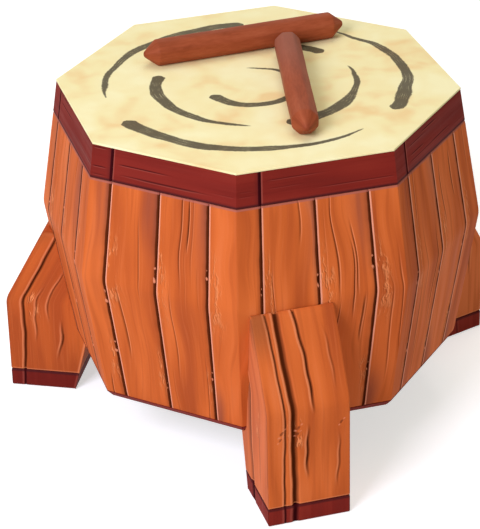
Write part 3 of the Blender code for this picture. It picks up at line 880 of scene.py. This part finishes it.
BROWNED_COLOUR = (0.29, 0.085, 0.026)
SIDE_SHEEN_COLOUR = (0.72, 0.24, 0.13)
leg_wood, shader, colour = stained_wood("leg_wood", "block", *ORANGE_STAIN)
from_left, from_right, height = read(colour.tree, "edges")
# A painted sheen on the leg's sides, as strong as its tone sets
side_sheen = read(colour.tree, "tone")[2]
on_side = ramp_to(from_right, LEG_WIDTH - 0.0010, LEG_WIDTH - 0.0004)
colour = paint(colour, SIDE_SHEEN_COLOUR, on_side * side_sheen)
browned = ramp_to(from_left, 0.021, 0.012) * ramp_to(height, 0.200, 0.250, 0.0, 0.6)
colour = paint(colour, BROWNED_COLOUR, browned)
# A painted highlight along the leg's foot, just above the shoe
leg_foot_highlight = ramp_to(height, LEG_LOW + 0.0034, LEG_LOW + 0.0018)
colour = paint(colour, LIP_HIGHLIGHT_COLOUR, leg_foot_highlight * 0.6)
set_input(shader.inputs["Base Color"], colour)
for leg in LEG_SEATS:
    drop = LEG_SEATS[leg][3]
    end, knee = LEG_TOP - drop, LEG_KNEE - drop
    heights = [LEG_LOW, LEG_LOW + LEG_ARRIS, *np.arange(LEG_LOW + LEG_ROW, end - 0.001, LEG_ROW), end]
    # Finer rows at the nicks, and a row on each side of the step in the back at the barrel's foot
    heights += [*np.arange(knee - 0.0445, knee - 0.0205, 0.0010)]
    heights = sorted(set(heights + [knee, FOOT_EDGE[0] - 0.0002, FOOT_EDGE[0]]))
    block = leg_block("hewn_leg_" + leg, heights, leg, 1.0)
    apply_cut(block, add_object("scribe", barrel_solid()))
    for row in ("lower", "upper"):
        bore(block, f"leg_peg_{leg}_{row}", heading(LEG_BEARINGS[leg]))
    bore(block, "shoe_dowel_" + leg, Vector((0, 0, 1)))
    finish_block(block, leg_wood, "leg_" + leg)

# Shoes
# A block of the rim's red wood is dowelled under each leg as its foot. The leg's joints were sawn on
# lightly across it.
SHOE_HEIGHT = 0.024
shoe_red, shader, colour = stained_wood("shoe_red", "block", *RED_STAIN)
height = read(colour.tree, "edges")[2]
# A painted shadow along the shoe's top, just under the leg
shoe_top_shadow = ramp_to(height, SHOE_HEIGHT - 0.0042, SHOE_HEIGHT - 0.0018)
colour = paint(colour, RED_CRACK, shoe_top_shadow * 0.75)
set_input(shader.inputs["Base Color"], colour)
heights = [0.0, 0.0008, *np.arange(LEG_ARRIS, SHOE_HEIGHT - 0.001, 0.002), SHOE_HEIGHT - 0.0008,
           SHOE_HEIGHT]
for leg in LEG_SEATS:
    shoe = leg_block("sawn_shoe_" + leg, heights, leg, 0.3)
    bore(shoe, "shoe_dowel_" + leg, Vector((0, 0, 1)))
    finish_block(shoe, shoe_red, "leg_shoe_" + leg)

# Hide
# A cream skin is stretched over the stave ends and the rim bands and glued down. Its maker has brushed
# arcs of thin ink on it, over the skin's own ochre clouds.
INK = (0.052, 0.037, 0.019)
# Stroke: centre x and y from the drum's axis, radius, start and sweep in degrees, width
STROKES = (
    (0.0, 0.0, 0.186, 196, 100, 0.0200), (0.0, 0.0, 0.186, 316, 88, 0.0190),
    (0.0, 0.0, 0.186, 78, 96, 0.0180), (0.0, 0.0, 0.122, 150, 100, 0.0190),
    (0.0, 0.0, 0.122, 270, 96, 0.0185), (0.0, 0.0, 0.122, 30, 96, 0.0180),
    (-0.008, -0.006, 0.056, 190, 250, 0.0160))


def stroke_group():
    """One brushed arc: how inked the hide is at a place. It starts blunt, thins out and ends ragged."""
    tree, given, made = new_group("brushed_arc", "ShaderNodeTree", (
        ("Place", "Vector"), ("Radius", "Float"), ("Start", "Float"), ("Sweep", "Float"),
        ("Width", "Float")), (("Ink", "Float"),))
    x, y = parts(given["Place"])[:2]
    angle = calc("FLOORED_MODULO", calc("ARCTAN2", y, x) - given["Start"], 2 * math.pi)
    part = angle / given["Sweep"]
    swell = ramp_to(part, -0.012, 0.026) * calc("POWER", larger(1.0 - part, 0.0), 0.55)
    ragged = noise(given["Place"], 260.0, 3.0)
    wander = noise(given["Place"], 18.0, 1.0)
    off_line = abs(length(x, y) - given["Radius"] + wander * 0.016 - 0.008)
    off_line = off_line + ragged * 0.0022 - 0.0011
    half = given["Width"] * 0.5 * swell
    inked = ramp_to(off_line - half, 0.0008, -0.0008)
    dry = noise(join(off_line * 900, angle * 7, 0.0))
    set_input(made["Ink"], inked * (part < 1.0) * ramp_to(dry, 0.30, 0.42, 0.62, 1.0))
    return tree


hide_skin, tree, shader = new_material("hide_skin", 0.62, 0.2)
on_head = vector_sum("SUBTRACT", along_axes(tree), axis)
clouds = noise(on_head, 12.0, 2.0, 0.55, 0.35)
patches = noise(on_head, 30.0, 1.5, 0.5, 0.35)
colour = colour_ramp(patches * 0.35 + clouds * 0.65, (
    (0.36, (0.95, 0.87, 0.51)), (0.52, (0.92, 0.80, 0.42)), (0.64, (0.88, 0.65, 0.31))))
stroke = stroke_group()
strokes = [use_group(stroke, Place=vector_sum("SUBTRACT", on_head, (x, y, 0)), Radius=radius,
                     Start=math.radians(start), Sweep=math.radians(sweep), Width=width)["Ink"]
           for x, y, radius, start, sweep, width in STROKES]
colour = paint(colour, INK, larger(*strokes) * 0.93)
finish_shader(shader, colour, noise(on_head, 900.0), 0.0002)
dress(solids["hide_head"], hide_skin)

# Beaters
# Two short sticks are whittled to eight soft sides and a blunt point at each end, and rubbed smooth. They
# lie on the head, the second with its point against the first.
BEATER_LENGTH = 0.272
BEATER_FLAT = 0.01615
BEATER_SEAT = BEATER_FLAT + 0.00002
BEATER_POINT = 0.0202
# A point's outline: distance from the tip and share of the stick's thickness
POINT_OUTLINE = (
    (0.0004, 0.10), (0.0010, 0.18), (0.0020, 0.25), (0.0040, 0.34), (0.0080, 0.51),
    (0.0120, 0.68), (0.0160, 0.85), (0.0182, 0.94), (0.0192, 0.972), (BEATER_POINT, 0.990),
    (0.0216, 0.999), (0.025, 1.0))
HEAD_TOP = 0.4333
LONG_MIDDLE = Vector((0.015, 0.1005, 0))
LONG_TURN = 2.6
CROSS_TURN = 77.4
CROSS_ALONG = 0.050
BEATER_RING = 48


def beater_mesh(name, rubbed):
    """A stick along +X, with what its finish reads: share along it and share of a turn round it."""
    tip = BEATER_LENGTH / 2 - rubbed
    ends = [(-tip + away * (1 - rubbed / BEATER_POINT), share) for away, share in POINT_OUTLINE]
    middle = [(float(x), 1.0) for x in np.linspace(-0.100, 0.100, 41)]
    rows = ends + middle + [(-x, share) for x, share in reversed(ends)]
    points, stick = [(-tip, 0.0, 0.0)], [(0.0, 0.0, 0.0)]
    for x, share in rows:
        knife = 0.00012 * (1 + math.sin(x * 83) * math.sin(x * 37 + 1))
        for step in range(BEATER_RING):
            angle = 2 * math.pi * step / BEATER_RING
            from_flat = (angle + math.pi / 8) % (math.pi / 4) - math.pi / 8
            hewn = BEATER_FLAT / math.cos(from_flat) ** 0.6
            radius = (hewn - knife * (1 + math.cos(3 * angle + x * 40))) * share
            points.append((x, radius * math.sin(angle), -radius * math.cos(angle)))
            stick.append((x / BEATER_LENGTH + 0.5, angle / (2 * math.pi), 0.0))
    points.append((tip, 0.0, 0.0))
    stick.append((1.0, 0.0, 0.0))
    faces = []
    last = len(points) - 1
    for step in range(BEATER_RING):
        after = (step + 1) % BEATER_RING
        faces.append((0, 1 + after, 1 + step))
        faces.append((last, last - BEATER_RING + step, last - BEATER_RING + after))
        for low in range(1, last - BEATER_RING, BEATER_RING):
            high = low + BEATER_RING
            faces.append((low + step, low + after, high + after, high + step))
    return plain_mesh(name, points, faces, stick=stick)


def beater_finish(name, far_reflection):
    """Rubbed red-brown wood with its grain along the stick. Its far half can carry a painted reflection, a
    duller pink.
    """
    made, tree, shader = new_material(name, 0.55, 0.1)
    share, turn = read(tree, "stick")[:2]
    angle = turn * (2 * math.pi)
    vector = join(share * 3.5, calc("SINE", angle), calc("COSINE", angle))
    fine = noise(vector, 7.0)
    colour = colour_ramp(fine * 0.4 + noise(vector, 1.3) * 0.6, (
        (0.32, (0.240, 0.048, 0.016)), (0.52, (0.310, 0.066, 0.024)), (0.72, (0.370, 0.090, 0.036))))
    # A painted reflection, a duller pink-brown, over the far half
    far = ramp_to(share, 0.30, 0.85) * far_reflection
    colour = paint(colour, (0.270, 0.095, 0.062), far * 0.65)
    tip = larger(ramp_to(share, 0.030, 0.006), ramp_to(share, 0.970, 0.994))
    colour = paint(colour, (0.22, 0.040, 0.020), tip * 0.35)
    finish_shader(shader, colour, fine, 0.0002)
    return made


touch = LONG_MIDDLE + heading(LONG_TURN) * CROSS_ALONG
touch += heading(LONG_TURN - 90) * (BEATER_SEAT + CLEARANCE)
cross_middle = touch - heading(CROSS_TURN) * BEATER_LENGTH / 2
# Each beater: its body, its middle from the drum's axis, its turn in degrees, how far its points are
# rubbed back, and how strong the painted reflection on its far half is
for node, body, middle, turn, rubbed, far_reflection in (
        ("beater_long", "long_beater", LONG_MIDDLE, LONG_TURN, 0.0028, 0.0),
        ("beater_cross", "cross_beater", cross_middle, CROSS_TURN, 0.0, 1.0)):
    stick = add_object("whittled_" + node, beater_mesh("whittled_" + node, rubbed))
    lift = Vector((0, 0, HEAD_TOP + BEATER_SEAT))
    stick.data.transform(placed(axis + middle + lift, turn))
    stick.data.shade_smooth()
    dress(stick, beater_finish(node + "_wood", far_reflection))
    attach(stick, body)
    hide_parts(node)

# Floor, backdrop and lamps
# The drum stands on a plain pale floor before white. The floor keeps the drum's shadow.
FLOOR_REACH = 12.0
corners = [(x * FLOOR_REACH, y * FLOOR_REACH, -0.0005) for x, y in ((-1, -1), (1, -1), (1, 1), (-1, 1))]
floor = add_object("floor", plain_mesh("floor", corners, [(0, 1, 2, 3)]))


def seen_directly(tree):
    """1 for what the camera sees, also in gloss or through glass."""
    path = outputs(add_node(tree, "ShaderNodeLightPath"))
    return larger(path["Is Camera Ray"], path["Is Glossy Ray"], path["Is Transmission Ray"])


pale_floor, tree, shader = new_material("pale_floor", 0.9, 0.0)
shader.inputs["Base Color"].default_value = (0.80, 0.80, 0.80, 1)
shader.inputs["Emission Color"].default_value = (1, 1, 1, 1)
set_input(shader.inputs["Emission Strength"], seen_directly(tree) * 0.57)
dress(floor, pale_floor)

world = bpy.data.worlds.new("studio")
world.use_nodes = True
bpy.context.scene.world = world
background = world.node_tree.nodes["Background"]
seen = seen_directly(world.node_tree)
set_input(background.inputs["Strength"], ramp_to(seen, 0.0, 1.0, 0.30, 1.0))
set_input(background.inputs["Color"], mix(seen, (1.0, 0.97, 0.78, 1), (1, 1, 1, 1), "RGBA"))


def add_lamp(name, place, target_height, power, size, colour=(1, 1, 1)):
    light = bpy.data.lights.new(name, "AREA")
    light.energy = power
    light.size = size
    light.color = colour
    stand = add_object(name, light)
    stand.location = place
    stand.rotation_mode = "QUATERNION"
    stand.rotation_quaternion = (Vector((0, 0, target_height)) - Vector(place)).to_track_quat("-Z", "Y")


add_lamp("key", (-2.4, -1.9, 2.4), target_height=0.25, power=104, size=1.6, colour=(1.0, 1.0, 1.18))
add_lamp("fill", (1.9, -2.6, 1.6), target_height=0.25, power=8, size=2.0, colour=(1.0, 0.95, 0.80))
add_lamp("top", (0.2, 0.6, 3.2), target_height=0.4, power=26, size=2.0)

# Camera
# It stands before the front leg and to its left, and looks down on the head. The photograph is cropped
# close to the drum, so its middle isn't quite the lens's.
PHOTO_SIZE = (480, 529)
FOCAL_PIXELS = 2353.9
LENS_MIDDLE = (214, 268)
CAMERA_BEARING = -16.69
CAMERA_AWAY = 2.649
CAMERA_HEIGHT = 1.625
LOOK_DOWN = math.radians(28.69)
LOOK_ASIDE = 1.28
CAMERA_ROLL = math.radians(-1.75)
SENSOR = 36.0
turn = CAMERA_BEARING + LOOK_ASIDE
back = heading(turn - 90) * math.cos(LOOK_DOWN) + Vector((0, 0, math.sin(LOOK_DOWN)))
level = heading(turn)
upward = back.cross(level)
right = math.cos(CAMERA_ROLL) * level + math.sin(CAMERA_ROLL) * upward
up = math.cos(CAMERA_ROLL) * upward - math.sin(CAMERA_ROLL) * level
lens = bpy.data.cameras.new("photo_camera")
lens.sensor_width = SENSOR
lens.lens = FOCAL_PIXELS * SENSOR / PHOTO_SIZE[1]
lens.shift_x = (PHOTO_SIZE[0] / 2 - LENS_MIDDLE[0]) / PHOTO_SIZE[1]
lens.shift_y = (LENS_MIDDLE[1] - PHOTO_SIZE[1] / 2) / PHOTO_SIZE[1]
camera = add_object("photo_camera", lens)
stand_at = axis + heading(CAMERA_BEARING - 90) * CAMERA_AWAY + Vector((0, 0, CAMERA_HEIGHT))
camera.matrix_world = Matrix.Translation(stand_at) @ Matrix((right, up, back)).transposed().to_4x4()
bpy.context.scene.camera = camera
bpy.context.scene.view_settings.view_transform = "Standard"
